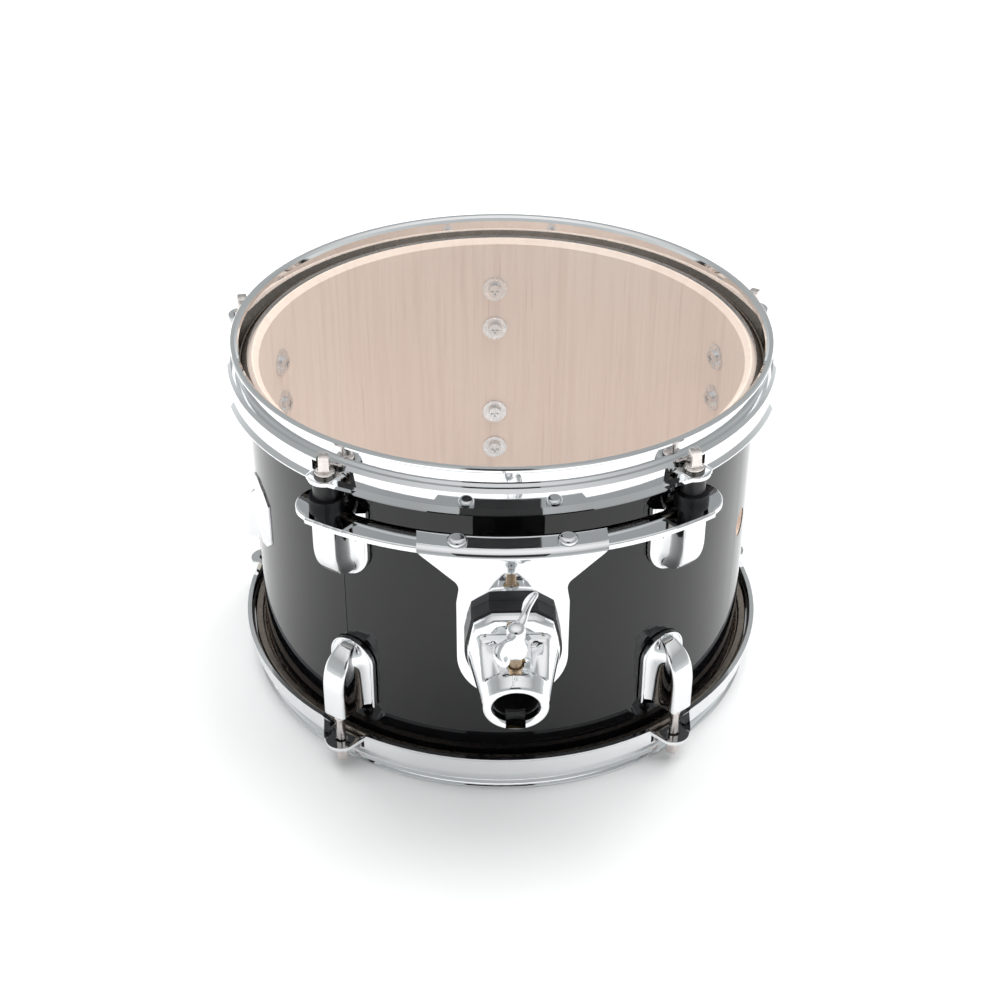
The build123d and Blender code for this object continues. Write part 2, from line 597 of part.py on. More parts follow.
with BuildPart() as band_nuts:
    with BuildSketch(Plane.XY.offset(BAND_TOP - BAND_T)):
        with Locations(*band_screw_spots):
            RegularPolygon(4.4, 6)
            Circle(2.45, mode=Mode.SUBTRACT)
    extrude(amount=-3.2)
band_nuts.part.label = "band_nuts"
export_step(band_nuts.part, "parts/band_nuts.step")

# ---- Arm receiver: gasket, body, sleeve, clamp shoe and wing screw ------------------------------

def base_outline(grow):
    """The receiver's foot: round below, with a flat chamfered top."""
    with Locations((0, BASE_Z)):
        Circle(BASE_R + grow)
    top = BASE_Z + BASE_R + grow
    Polygon((-9.5 - grow, top), (9.5 + grow, top), (17.4 + grow, top - 4.6),
            (BASE_R + grow, BASE_Z + 2), (-BASE_R - grow, BASE_Z + 2), (-17.4 - grow, top - 4.6),
            align=None)


with BuildPart() as bracket_gasket:
    with BuildSketch(FRONT.offset(PLATE_FACE + 0.03)):
        base_outline(1.0)
        with Locations((0, BASE_Z)):
            Circle(SLEEVE_R + 1.5, mode=Mode.SUBTRACT)
        with Locations(*BOLT_SPOTS):
            Circle(2.3, mode=Mode.SUBTRACT)
    extrude(amount=GASKET_T - 0.06)
bracket_gasket.part.label = "bracket_gasket"
export_step(bracket_gasket.part, "parts/bracket_gasket.step")

with BuildPart() as bracket_body:
    with BuildSketch(FRONT.offset(SEAT)):
        base_outline(0)
    extrude(amount=BASE_T, taper=8)
    with BuildSketch(FRONT.offset(SEAT + 2)):
        with Locations((0, BASE_Z)):
            Circle(BASE_R - 0.6)
    with BuildSketch(NOSE.offset(-6.5)):
        Circle(NOSE_R)
    loft()
    with BuildSketch(NOSE.offset(-6.5)):
        Circle(NOSE_R)
    extrude(amount=6.5)
    fillet(bracket_body.faces().sort_by(Axis.Y)[0].edges(), 2.2)
    with BuildSketch(NOSE.offset(-8.5)):          # flat top between foot and nose ring
        with Locations((0, SPINE_RISE + 5)):
            Rectangle(30, 10)
    extrude(amount=-(BORE_BACK - BASE_T - 9.0), mode=Mode.SUBTRACT)
    for side in (-1, 1):                          # scoops that leave the spine standing
        with BuildSketch(NOSE.offset(-9.5)):
            with Locations((side * (SPINE_HALF + 5.2), SPINE_RISE - 0.4)):
                Circle(5.2)
        extrude(amount=-(BORE_BACK - BASE_T - 11.5), mode=Mode.SUBTRACT)
        with Locations(NOSE.offset(-9.5)):
            with Locations((side * (SPINE_HALF + 5.2), SPINE_RISE - 0.4)):
                Sphere(5.2, mode=Mode.SUBTRACT)
    with BuildSketch(NOSE.offset(-5.0)):          # pocket of the sleeve
        Circle(SLEEVE_R + 0.05)
    extrude(amount=-(BORE_BACK + 6), mode=Mode.SUBTRACT)
    with BuildSketch(NOSE.offset(1)):
        Circle(BORE_R + 0.3)
    extrude(amount=-7.0, mode=Mode.SUBTRACT)
    mouth = bracket_body.edges().filter_by(GeomType.CIRCLE).filter_by(
        lambda e: abs(e.radius - BORE_R - 0.3) < 0.05).sort_by(Axis.Y)[0]
    fillet(mouth, 2.0)
    with BuildSketch(NOSE.offset(1)):
        with Locations((0, -BORE_R - 0.8)):
            Rectangle(8.6, 4.0)
    extrude(amount=-9.0, mode=Mode.SUBTRACT)
    with BuildSketch(STUD.offset(SPINE_RISE + 1)):
        Circle(STUD_R + 0.05)
    extrude(amount=-(SPINE_RISE - 6), mode=Mode.SUBTRACT)
    with BuildSketch(STUD.offset(SPINE_RISE + 0.5)):
        with Locations((0, 3.5)):
            Rectangle(1.0, BORE_BACK - BASE_T - 10.5)
    extrude(amount=-1.6, mode=Mode.SUBTRACT)
    with BuildSketch(FRONT.offset(SEAT - 1)):
        with Locations(*BOLT_SPOTS):
            Circle(2.05)
    extrude(amount=8.5, mode=Mode.SUBTRACT)
bracket_body.part.label = "bracket_body"
export_step(bracket_body.part, "parts/bracket_body.step")

with BuildPart() as bracket_sleeve:
    with BuildSketch(NOSE.offset(-SLEEVE_START)):
        Circle(SLEEVE_R)
        Circle(BORE_R, mode=Mode.SUBTRACT)
    extrude(amount=-SLEEVE_L)
    with BuildSketch(NOSE):
        with Locations((0, -BORE_R - 0.8)):
            Rectangle(8.6, 4.0)
    extrude(amount=-8.0, mode=Mode.SUBTRACT)
    with BuildSketch(STUD.offset(SPINE_RISE)):
        Rectangle(SHOE_X + 0.6, SHOE_L + 0.6)
    extrude(amount=-SPINE_RISE, mode=Mode.SUBTRACT)
bracket_sleeve.part.label = "bracket_sleeve"
export_step(bracket_sleeve.part, "parts/bracket_sleeve.step")

with BuildPart() as bracket_bolts:
    for spot in BOLT_SPOTS:
        with BuildSketch(FRONT.offset(PLATE_BACK - 0.03)):
            with Locations(spot):
                Circle(2.0)
        extrude(amount=PLATE_T + GASKET_T + 6.8)
        with BuildSketch(FRONT.offset(PLATE_BACK - 0.03)):
            with Locations(spot):
                Circle(3.8)
        extrude(amount=-2.6)
bracket_bolts.part.label = "bracket_bolts"
export_step(bracket_bolts.part, "parts/bracket_bolts.step")

with BuildPart() as clamp_shoe:
    with BuildSketch(STUD.offset(8.0)):
        Rectangle(SHOE_X, SHOE_L)
    extrude(amount=4.0)
    with BuildSketch(NOSE):
        Circle(SLEEVE_R - 0.03)
        Circle(BORE_R + 0.02, mode=Mode.SUBTRACT)
    extrude(amount=-2 * STUD_BACK, mode=Mode.INTERSECT)
clamp_shoe.part.label = "clamp_shoe"
export_step(clamp_shoe.part, "parts/clamp_shoe.step")

with BuildPart() as wing_stud:
    with BuildSketch(STUD.offset(SLEEVE_R + 0.02)):
        Circle(STUD_R)
    extrude(amount=SPINE_RISE + WING_RISE - 7.0 - SLEEVE_R)
wing_stud.part.label = "wing_stud"
export_step(wing_stud.part, "parts/wing_stud.step")

# the wing lies along a line turned from the drum's side towards its front-to-back line
WING_TURN = 62.0
across_wing = (cos(radians(WING_TURN)), sin(radians(WING_TURN)))
wing_x = STUD.from_local_coords(Vector(across_wing[0], across_wing[1], 0)) - STUD.origin
WING = Plane(origin=STUD.from_local_coords((0, 0, SPINE_RISE + WING_RISE)), x_dir=wing_x,
             z_dir=STUD.z_dir)
WING_SIDE = Plane(origin=WING.origin, x_dir=WING.x_dir, z_dir=WING.y_dir * -1)

with BuildPart() as wing_handle:
    with BuildSketch(WING.offset(-13.0)):
        Circle(5.2)
        Circle(STUD_R + 0.03, mode=Mode.SUBTRACT)
    extrude(amount=6.2)
    with BuildSketch(WING.offset(-6.8)):
        Circle(5.2)
    extrude(amount=8.0, taper=12)
    for side in (-1, 1):
        with BuildSketch(WING_SIDE):
            with Locations(Location((side * 12.2, 1.0), side * 14)):
                Ellipse(WING_HALF - 12.2, 5.6)
            with Locations((side * 5.5, -1.6)):
                Rectangle(11.0, 6.0)
        extrude(amount=2.3, both=True)
wing_handle.part.label = "wing_handle"
export_step(wing_handle.part, "parts/wing_handle.step")
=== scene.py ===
import bmesh
import bpy
import json
from math import atan2, copysign, cos, hypot, pi, radians, sin, sqrt
from mathutils import Matrix, Vector

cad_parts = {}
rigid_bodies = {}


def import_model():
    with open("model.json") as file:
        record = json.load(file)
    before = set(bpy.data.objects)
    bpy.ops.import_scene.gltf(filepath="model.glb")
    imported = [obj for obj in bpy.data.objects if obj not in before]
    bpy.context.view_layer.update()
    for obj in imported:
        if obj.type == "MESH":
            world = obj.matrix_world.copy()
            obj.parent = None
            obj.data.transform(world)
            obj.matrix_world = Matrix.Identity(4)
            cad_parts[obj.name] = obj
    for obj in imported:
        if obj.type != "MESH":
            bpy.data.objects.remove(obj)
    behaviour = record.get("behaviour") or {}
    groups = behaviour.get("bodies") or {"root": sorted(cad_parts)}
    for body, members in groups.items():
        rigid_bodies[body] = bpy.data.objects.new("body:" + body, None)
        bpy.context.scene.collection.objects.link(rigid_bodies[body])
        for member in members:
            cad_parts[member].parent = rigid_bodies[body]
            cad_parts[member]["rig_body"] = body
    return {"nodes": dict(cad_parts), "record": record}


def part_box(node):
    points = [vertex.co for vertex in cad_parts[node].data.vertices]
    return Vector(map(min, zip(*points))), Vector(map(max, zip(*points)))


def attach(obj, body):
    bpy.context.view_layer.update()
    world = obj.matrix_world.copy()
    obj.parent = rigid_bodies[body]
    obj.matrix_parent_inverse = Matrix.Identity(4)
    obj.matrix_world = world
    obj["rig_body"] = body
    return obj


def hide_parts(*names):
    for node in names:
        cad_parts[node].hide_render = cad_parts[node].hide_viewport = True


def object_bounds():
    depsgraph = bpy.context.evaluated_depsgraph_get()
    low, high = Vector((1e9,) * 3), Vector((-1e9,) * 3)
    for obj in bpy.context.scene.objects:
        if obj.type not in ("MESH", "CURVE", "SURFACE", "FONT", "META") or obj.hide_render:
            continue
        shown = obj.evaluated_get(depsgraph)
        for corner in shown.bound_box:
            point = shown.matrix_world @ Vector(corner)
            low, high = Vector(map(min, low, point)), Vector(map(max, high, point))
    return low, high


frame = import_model()
cad_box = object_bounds()
nodes = frame["nodes"]


# ---------------------------------------------------------------- material helpers
class Mat:
    """A node material: `bsdf` is its Principled shader, and the methods add texture to it."""

    def __init__(self, name, colour, metallic=0.0, rough=0.5):
        self.mat = bpy.data.materials.new(name)
        self.mat.use_nodes = True
        self.tree = self.mat.node_tree
        self.bsdf = self.tree.nodes["Principled BSDF"]
        self.bsdf.inputs["Base Color"].default_value = (*colour, 1)
        self.bsdf.inputs["Metallic"].default_value = metallic
        self.bsdf.inputs["Roughness"].default_value = rough
        self.coords = self.node("ShaderNodeTexCoord").outputs["Object"]
        self.last_bump = None

    def node(self, kind, **settings):
        n = self.tree.nodes.new(kind)
        for key, value in settings.items():
            if key in n.inputs:
                n.inputs[key].default_value = value
            else:
                setattr(n, key, value)
        return n

    def link(self, a, b):
        self.tree.links.new(a, b)

    def stretched(self, scale):
        m = self.node("ShaderNodeMapping")
        m.inputs["Scale"].default_value = scale
        self.link(self.coords, m.inputs["Vector"])
        return m.outputs["Vector"]

    def noise(self, scale, detail=4.0, roughness=0.55, stretch=(1, 1, 1), distortion=0.0):
        n = self.node("ShaderNodeTexNoise", Scale=scale, Detail=detail, Roughness=roughness,
                      Distortion=distortion)
        self.link(self.stretched(stretch), n.inputs["Vector"])
        return n.outputs["Fac"]

    def spread(self, fac, low, high, from_low=0.3, from_high=0.7):
        n = self.node("ShaderNodeMapRange")
        n.inputs["From Min"].default_value = from_low
        n.inputs["From Max"].default_value = from_high
        n.inputs["To Min"].default_value = low
        n.inputs["To Max"].default_value = high
        self.link(fac, n.inputs["Value"])
        return n.outputs["Result"]

    def ramp(self, fac, stops):
        n = self.node("ShaderNodeValToRGB")
        e = n.color_ramp.elements
        while len(e) < len(stops):
            e.new(0.5)
        for el, (at, colour) in zip(e, stops):
            el.position = at
            el.color = (*colour, 1)
        self.link(fac, n.inputs["Fac"])
        return n.outputs["Color"]

    def mix(self, fac, a, b):
        n = self.node("ShaderNodeMix", data_type="RGBA", blend_type="MIX")
        for socket, value in ((n.inputs[0], fac), (n.inputs[6], a), (n.inputs[7], b)):
            if hasattr(value, "is_output"):
                self.link(value, socket)
            elif isinstance(value, (int, float)):
                socket.default_value = value
            else:
                socket.default_value = (*value, 1)
        return n.outputs[2]

    def colour(self, source):
        self.link(source, self.bsdf.inputs["Base Color"])

    def rough(self, source):
        self.link(source, self.bsdf.inputs["Roughness"])

    def bump(self, height, strength, distance):
        n = self.node("ShaderNodeBump")
        n.inputs["Strength"].default_value = strength
        n.inputs["Distance"].default_value = distance
        self.link(height, n.inputs["Height"])
        if self.last_bump:
            self.link(self.last_bump, n.inputs["Normal"])
        self.last_bump = n.outputs["Normal"]
        self.link(self.last_bump, self.bsdf.inputs["Normal"])


def chrome(name, tone=(0.88, 0.89, 0.90), rough=0.03, ripple=0.0, ripple_scale=35.0):
    """Chrome plate: faint cloudy wear in roughness, polish ripples in the casting or pressing."""
    m = Mat(name, tone, metallic=1.0, rough=rough)
    cloud = m.noise(60, 6, 0.6)
    m.rough(m.spread(cloud, rough * 0.5, rough * 1.8))
    dark = tuple(c * 0.93 for c in tone)
    m.colour(m.mix(m.spread(m.noise(18, 3), 0.0, 1.0), dark, tone))
    if ripple:
        m.bump(m.noise(ripple_scale, 2, 0.4), ripple, 0.001)
    return m.mat


def plated_steel(name, tone, rough=0.22):
    """Plain plating or bare metal: fine grain, with darker patches."""
    m = Mat(name, tone, metallic=1.0, rough=rough)
    fine = m.noise(400, 5, 0.6)
    m.rough(m.spread(fine, rough * 0.7, rough * 1.4))
    dark = tuple(c * 0.72 for c in tone)
    m.colour(m.mix(m.spread(m.noise(150, 5, 0.7), 0.0, 1.0, 0.35, 0.75), tone, dark))
    m.bump(fine, 0.15, 0.0004)
    return m.mat


def rubber(name, tone, rough=0.45):
    """Dark rubber or plastic with a fine grain."""
    m = Mat(name, tone, rough=rough)
    grain = m.noise(900, 4, 0.6)
    m.colour(m.ramp(m.noise(80, 4), [(0.3, tone), (0.75, tuple(c * 2.1 for c in tone))]))
    m.rough(m.spread(grain, rough * 0.8, rough * 1.25))
    m.bump(grain, 0.25, 0.0003)
    return m.mat


def wood():
    """Pale plywood, with fine grain and pores running up the shell."""
    m = Mat("pale_plywood", (0.80, 0.62, 0.50), rough=0.55)
    m.bsdf.inputs["Specular IOR Level"].default_value = 0.35
    broad = m.noise(9, 3, 0.5, stretch=(1, 1, 0.25), distortion=0.6)
    base = m.ramp(broad, [(0.30, (0.83, 0.665, 0.545)), (0.5, (0.87, 0.71, 0.60)),
                          (0.72, (0.90, 0.755, 0.65))])
    fibre = m.noise(260, 5, 0.65, stretch=(1, 1, 0.03))
    lined = m.mix(m.spread(fibre, 0.0, 0.45, 0.45, 0.75), base, (0.70, 0.51, 0.39))
    pores = m.noise(900, 2, 0.5, stretch=(1, 1, 0.02))
    lined = m.mix(m.spread(pores, 0.0, 0.28, 0.62, 0.75), lined, (0.48, 0.31, 0.21))
    m.colour(lined)
    m.bump(fibre, 0.12, 0.0004)
    return m.mat


def gloss_wrap():
    """Black gloss sheet with a faint haze and slight waves."""
    m = Mat("gloss_black_wrap", (0.004, 0.004, 0.0045), rough=0.03)
    m.bsdf.inputs["IOR"].default_value = 1.47
    haze = m.noise(30, 5, 0.6)
    m.rough(m.spread(haze, 0.02, 0.05))
    m.colour(m.ramp(m.noise(140, 4), [(0.35, (0.0035, 0.0035, 0.004)),
                                      (0.75, (0.006, 0.006, 0.007))]))
    m.bump(m.noise(55, 2, 0.4), 0.02, 0.001)
    return m.mat


def clear_film():
    """Polyester film, nearly clear."""
    m = Mat("clear_film", (0.98, 0.97, 0.965), rough=0.06)
    m.bsdf.inputs["Alpha"].default_value = 0.08
    m.bsdf.inputs["IOR"].default_value = 1.6
    m.rough(m.spread(m.noise(40, 4), 0.03, 0.09))
    m.colour(m.mix(m.noise(25, 3), (0.98, 0.97, 0.965), (0.95, 0.94, 0.935)))
    m.mat.surface_render_method = "BLENDED"
    return m.mat


MATERIALS = {
    "maple_shell": wood(),
    "gloss_black_wrap": gloss_wrap(),
    "badge_silver": plated_steel("badge_silver", (0.80, 0.80, 0.82), 0.2),
    "clear_film": clear_film(),
    "head_hoop_steel": plated_steel("head_hoop_steel", (0.34, 0.29, 0.25), 0.3),
    "hoop_chrome": chrome("hoop_chrome", ripple=0.02),
    "washer_steel": plated_steel("washer_steel", (0.30, 0.29, 0.28), 0.25),
    "rod_steel": plated_steel("rod_steel", (0.80, 0.74, 0.71), 0.2),
    "zinc_washer": plated_steel("zinc_washer", (0.86, 0.87, 0.89), 0.28),
    "screw_steel": plated_steel("screw_steel", (0.78, 0.79, 0.80), 0.22),
    "gasket_black": rubber("gasket_black", (0.012, 0.012, 0.012)),
    "nut_steel": plated_steel("nut_steel", (0.62, 0.58, 0.52), 0.25),
    "lug_chrome": chrome("lug_chrome", ripple=0.05, ripple_scale=60),
    "grommet_rubber": rubber("grommet_rubber", (0.006, 0.006, 0.007), 0.35),
    "band_chrome": chrome("band_chrome", ripple=0.02),
    "plate_chrome": chrome("plate_chrome", ripple=0.03),
    "band_screw_chrome": chrome("band_screw_chrome", (0.80, 0.81, 0.82), 0.06),
    "bracket_gasket_black": rubber("bracket_gasket_black", (0.010, 0.010, 0.011), 0.4),
    "bracket_chrome": chrome("bracket_chrome", ripple=0.06, ripple_scale=70),
    "sleeve_black": rubber("sleeve_black", (0.008, 0.008, 0.008), 0.4),
    "shoe_brass": plated_steel("shoe_brass", (0.70, 0.52, 0.26), 0.3),
    "stud_brass": plated_steel("stud_brass", (0.62, 0.47, 0.33), 0.3),
    "wing_chrome": chrome("wing_chrome", ripple=0.08, ripple_scale=90),
}
slot_of = {s["node"]: s["material_slot"] for s in frame["record"]["subparts"]}
for name, obj in nodes.items():
    obj.data.materials.clear()
    obj.data.materials.append(MATERIALS[slot_of[name]])


# ---------------------------------------------------------------- mesh helpers
MM = 0.001                                        # the shapes below are worked out in millimetres
DRUM_HEIGHT = cad_box[1].z / MM


def box_mm(node):
    """A CAD node's lowest and highest corners, in mm."""
    return [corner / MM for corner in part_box(node)]


def smooth(t):
    """Rises smoothly from 0 to 1 as t does."""
    t = min(max(t, 0), 1)
    return t * t * (3 - 2 * t)


def catmull(points, steps):
    """A smooth open line through the points, with a number of steps between each pair."""
    ends = [points[0]] + list(points) + [points[-1]]
    out = []
    for i in range(1, len(ends) - 2):
        corners = zip(*ends[i - 1:i + 3])
        spans = [(2 * b, c - a, 2 * a - 5 * b + 4 * c - d, d + 3 * b - a - 3 * c)
                 for a, b, c, d in corners]
        for t in [k / steps for k in range(steps)]:
            out.append(tuple(0.5 * (p + q * t + r * t * t + s * t**3) for p, q, r, s in spans))
    return out + [tuple(points[-1])]


def circle(radius, count, turn=0.0):
    """Points of a circle, as x and y."""
    angles = [turn + 2 * pi * k / count for k in range(count)]
    return [(radius * cos(a), radius * sin(a)) for a in angles]


def mesh_object(name, verts, faces, sharp=40):
    """A mesh from points in mm, doubles merged and normals outwards, smooth below `sharp`."""
    me = bpy.data.meshes.new(name)
    bm = bmesh.new()
    made = [bm.verts.new(Vector(v) * MM) for v in verts]
    for face in faces:
        bm.faces.new([made[i] for i in face])
    bmesh.ops.remove_doubles(bm, verts=bm.verts, dist=2e-6)
    bmesh.ops.dissolve_degenerate(bm, edges=bm.edges, dist=1e-6)
    bmesh.ops.recalc_face_normals(bm, faces=bm.faces)
    bm.to_mesh(me)
    bm.free()
    shade_smooth(me, sharp)
    o = bpy.data.objects.new(name, me)
    bpy.context.scene.collection.objects.link(o)
    return o


def shade_smooth(me, sharp):
    """Smooth shading, with edges past `sharp` degrees left crisp."""
    me.polygons.foreach_set("use_smooth", [True] * len(me.polygons))
    me.set_sharp_from_angle(angle=radians(sharp))


def skin(name, loops, sharp=40, ring=False):
    """A skin over closed loops of points: both ends capped, or joined to each other as a ring."""
    n, count = len(loops[0]), len(loops)
    spans = count if ring else count - 1
    faces = [(i * n + j, i * n + (j + 1) % n, (i + 1) % count * n + (j + 1) % n,
              (i + 1) % count * n + j) for i in range(spans) for j in range(n)]
    if not ring:
        faces.append(tuple(reversed(range(n))))
        faces.append(tuple((count - 1) * n + j for j in range(n)))
    return mesh_object(name, [p for loop in loops for p in loop], faces, sharp)


def stand_in(obj, node):
    """obj replaces a CAD node, with its material, body and material slot."""
    obj.data.materials.append(MATERIALS[slot_of[node]])
    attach(obj, nodes[node]["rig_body"])
    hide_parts(node)


def angle_of(node):
    """Radians round the drum, from the front, to the middle of a node's box. A turned node's
    box isn't centred on its own radius, so for most lugs this is a little off."""
    low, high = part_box(node)
    mid = (low + high) / 2
    return atan2(mid.x, -mid.y)


def placed(points, angle, flipped):
    """Points made at the front, top side, turned to an angle and, if flipped, to the bottom."""
    out = []
    for x, y, z in points:
        if flipped:
            z = DRUM_HEIGHT - z
        out.append((x * cos(angle) - y * sin(angle), x * sin(angle) + y * cos(angle), z))
    return out


# ---------------------------------------------------------------- lugs
# top_lug_4 and top_rod_4 stand on the drum's front-to-back line, so their boxes are true sizes
lug_low, lug_high = box_mm("top_lug_4")
rod_low, rod_high = box_mm("top_rod_4")
ROD_CIRCLE = (rod_low.y + rod_high.y) / 2
LUG_HALF = lug_high.x                             # half the flange's width, and its arch's radius
LUG_SEAT = hypot(lug_high.x, lug_low.y)           # the flange's seat, from the drum's axis
LUG_FLANGE = 130.2                                # the flange's outer side, from the axis
LUG_FACE = lug_high.y - 0.3                       # the loaf's face, from the axis, under its crown
LUG_BEND = 134.0                                  # below this height the face curves to the shell
LUG_FALL = 20.0                                   # and meets it this much lower
FACE_HALF = 6.1
NUT_POCKET_R = 4.6
NUT_POCKET_DEPTH = 4.5


def lug_section(wide, rise):
    """Half a level section: how far out from the flange (y) it is at each x from the middle."""
    k = wide / LUG_HALF
    half = FACE_HALF * k
    crown = [(0, rise + 0.25 * k), (half * 0.6, rise + 0.16 * k), (half - 1.2 * k, rise - 0.02)]
    flank = [(half - 0.35 * k, rise * 0.97 - 0.12), (half + 0.05 * k, rise * 0.90),
             (half + 0.3 * k, rise * 0.66), (half + 0.9 * k, rise * 0.38),
             (half + 2.0 * k, rise * 0.15), (half + 3.4 * k, rise * 0.035)]
    rim = [(wide - 1.7 * k, 0.0), (wide - 1.2 * k, 0.35), (wide - 0.5 * k, 0.38),
           (wide - 0.1 * k, 0.1), (wide, -0.6), (wide, -2.0)]
    return catmull(crown + flank + rim, 3)


def lug_loops():
    """Level loops of one lug at the front: a loaf with concave flanks on a rimmed flange."""
    arch_top = lug_low.z + LUG_HALF
    rows = [lug_low.z + LUG_HALF * (1 - cos(k / 16 * pi / 2)) for k in range(17)]
    rows += [arch_top + (lug_high.z - arch_top) * k / 14 for k in range(1, 15)]
    root = LUG_FLANGE - 0.6
    loops = []
    for z in rows:
        drop = max(arch_top - z, 0)
        wide = max(sqrt(max(LUG_HALF**2 - drop**2, 0)), 0.4)
        face = LUG_FACE
        if z < LUG_BEND:
            fall = (LUG_BEND - z) / LUG_FALL
            face = root + (LUG_FACE - root) * sqrt(max(1 - fall**2, 0))
        side = lug_section(wide, max(face - LUG_FLANGE, 0.02))
        right = [(x, -(sqrt(LUG_FLANGE**2 - x * x) + y), z) for x, y in side]
        back = [(x, -sqrt(LUG_SEAT**2 - x * x), z)
                for x in [wide * part for part in (0.66, 0.33, 0, -0.33, -0.66)]]
        left = [(-x, y, z) for x, y, z in reversed(right[1:])]
        loops.append(right + back + left)
    return loops


def pocket_loop(loop, z):
    """The loop drawn in to a circle about the front rod's axis."""
    out = []
    for x, y, _ in loop:
        scale = NUT_POCKET_R / (hypot(x, y + ROD_CIRCLE) or 1)
        out.append((x * scale, -ROD_CIRCLE + (y + ROD_CIRCLE) * scale, z))
    return out


lug = lug_loops()
lug += [pocket_loop(lug[-1], lug_high.z), pocket_loop(lug[-1], lug_high.z - NUT_POCKET_DEPTH)]
for end, flipped in (("top", False), ("bottom", True)):
    for i in range(1, 6):
        node = f"{end}_lug_{i}"
        turned = [placed(loop, angle_of(node), flipped) for loop in lug]
        stand_in(skin(f"{node}_casting", turned, 48), node)


# ---------------------------------------------------------------- tension rods
THREAD_R = 2.72
THREAD_DEPTH = 0.30
THREAD_PITCH = 1.058
SHANK_R = 2.35
HEAD_TURNS = (40.0, -24.0, 38.0, 5.0, 27.0)       # how far each square head stands turned
AROUND = 28                                       # points round a rod or stud


def threaded(radius, depth, pitch, low, high):
    """Loops of a screw thread about +Z, run out smoothly at its upper end."""
    rows = int((high - low) / pitch * 6)
    loops = []
    for z in [low + (high - low) * i / rows for i in range(rows + 1)]:
        cut_depth = depth * max(min(1, (high - z) / pitch), 0)
        loop = []
        for j in range(AROUND):
            turn = j / AROUND
            r = radius - cut_depth * abs(((z / pitch - turn) % 1) * 2 - 1)
            loop.append((r * cos(turn * 2 * pi), r * sin(turn * 2 * pi), z))
        loops.append(loop)
    return loops


def square(side, turn):
    """Points of a square with rounded corners, as x and y."""
    out = []
    for t in [2 * pi * k / AROUND for k in range(AROUND)]:
        r = side / 2 / (abs(cos(t))**9 + abs(sin(t))**9)**(1 / 9)
        out.append((r * cos(t + turn), r * sin(t + turn)))
    return out


def rod_loops(turn):
    """Loops of a whole rod about its own axis: thread, shank, collar, tapered square head."""
    top = rod_high.z
    collar = [(SHANK_R, 9.7), (4.3, 9.65), (4.58, 9.4), (4.6, 8.8), (4.45, 8.48), (3.75, 8.2),
              (3.6, 7.9)]                          # radius, and depth below the head's top
    head = [(5.5, 7.6), (5.45, 6.6), (5.25, 3.1), (5.05, 0.9), (4.6, 0.25), (3.8, 0.0),
            (1.6, 0.05), (0.6, 0.2)]               # side, and depth below the head's top
    rings = [(1.9, rod_low.z)], [(SHANK_R, lug_high.z + 6.7)] + [(r, top - d) for r, d in collar]
    tip, upper = [[[(x, y, z) for x, y in circle(r, AROUND)] for r, z in part] for part in rings]
    thread = threaded(THREAD_R, THREAD_DEPTH, THREAD_PITCH, rod_low.z + 0.6, lug_high.z + 5.9)
    return tip + thread + upper + [[(x, y, top - d) for x, y in square(side, turn)]
                                   for side, d in head]


for end, flipped in (("top", False), ("bottom", True)):
    for i, head_turn in enumerate(HEAD_TURNS, start=1):
        node = f"{end}_rod_{i}"
        loops = [[(x, y - ROD_CIRCLE, z) for x, y, z in loop]
                 for loop in rod_loops(radians(-head_turn if flipped else head_turn))]
        turned = [placed(loop, angle_of(node), flipped) for loop in loops]
        stand_in(skin(f"{node}_screw", turned, 38), node)

# ---------------------------------------------------------------- arm receiver
record = frame["record"]
wing_turn = next(j for j in record["behaviour"]["joints"] if j["name"] == "wing_turn")
socket = next(m for m in record["mounts"] if m["name"] == "tom_arm_socket")
SIDE = Vector((1, 0, 0))
OUT = Vector(socket["axis"])                      # along the bore, out of the nose
UP = -Vector(wing_turn["axis"])                   # square to the bore, along the wing screw
STUD = Vector(wing_turn["pos_m"]) / MM            # where the wing screw's axis meets the bore's
STUD_BACK = 15.1                                  # the wing screw's axis, behind the nose's face
NOSE = STUD + OUT * STUD_BACK                     # centre of the nose's face
body_high = box_mm("bracket_body")[1]
BASE_R = body_high.x
BASE_Z = body_high.z - BASE_R
SEAT = -body_high.y                               # the foot's flat back, from the drum's axis
CASTING_L = 30.5                                  # from the nose back into the foot
POCKET_R = 11.3                                   # the sleeve's seat
MOUTH_R = 10.0
RING_R = 2.15                                     # section of the nose's round ring
RING_CIRCLE = 12.1
CONE_R = 14.25                                    # the cone behind the ring, and its flare
CONE_FLARE = 5.9
STUD_HOLE_R = 4.4


def receiver_profile():
    """Distance behind the nose, radius, and whether the top is shaped: in at the mouth and out."""
    rows = [(CASTING_L, POCKET_R, False), (5.1, POCKET_R, False), (5.0, MOUTH_R, False),
            (3.4, MOUTH_R, False)]
    for t in [pi * k / 12 for k in range(13)]:
        rows.append((RING_R - RING_R * sin(t), RING_CIRCLE - RING_R * cos(t), False))
    for back in [RING_R + k * 0.86 for k in range(1, 34)]:
        rows.append((back, CONE_R + CONE_FLARE * (back / CASTING_L)**1.25, True))
    return rows


def shaped_radius(r, t, back):
    """The cone's radius where its top is flattened and hollowed on both sides of the spine."""
    flat = (13.6 - 0.3 * smooth((back - 8) / 4)) / sin(t)
    r += (min(r, flat) - r) * smooth((back - 6.3) / 1.8)
    across = abs(r * cos(t))
    beside_spine = smooth((across - 7.0) / 1.6) * smooth((14.6 - across) / 2.4)
    between_ends = smooth((back - 8.4) / 3.2) * smooth((26.8 - back) / 1.8)
    return r - 4.6 * beside_spine * between_ends * sin(t)


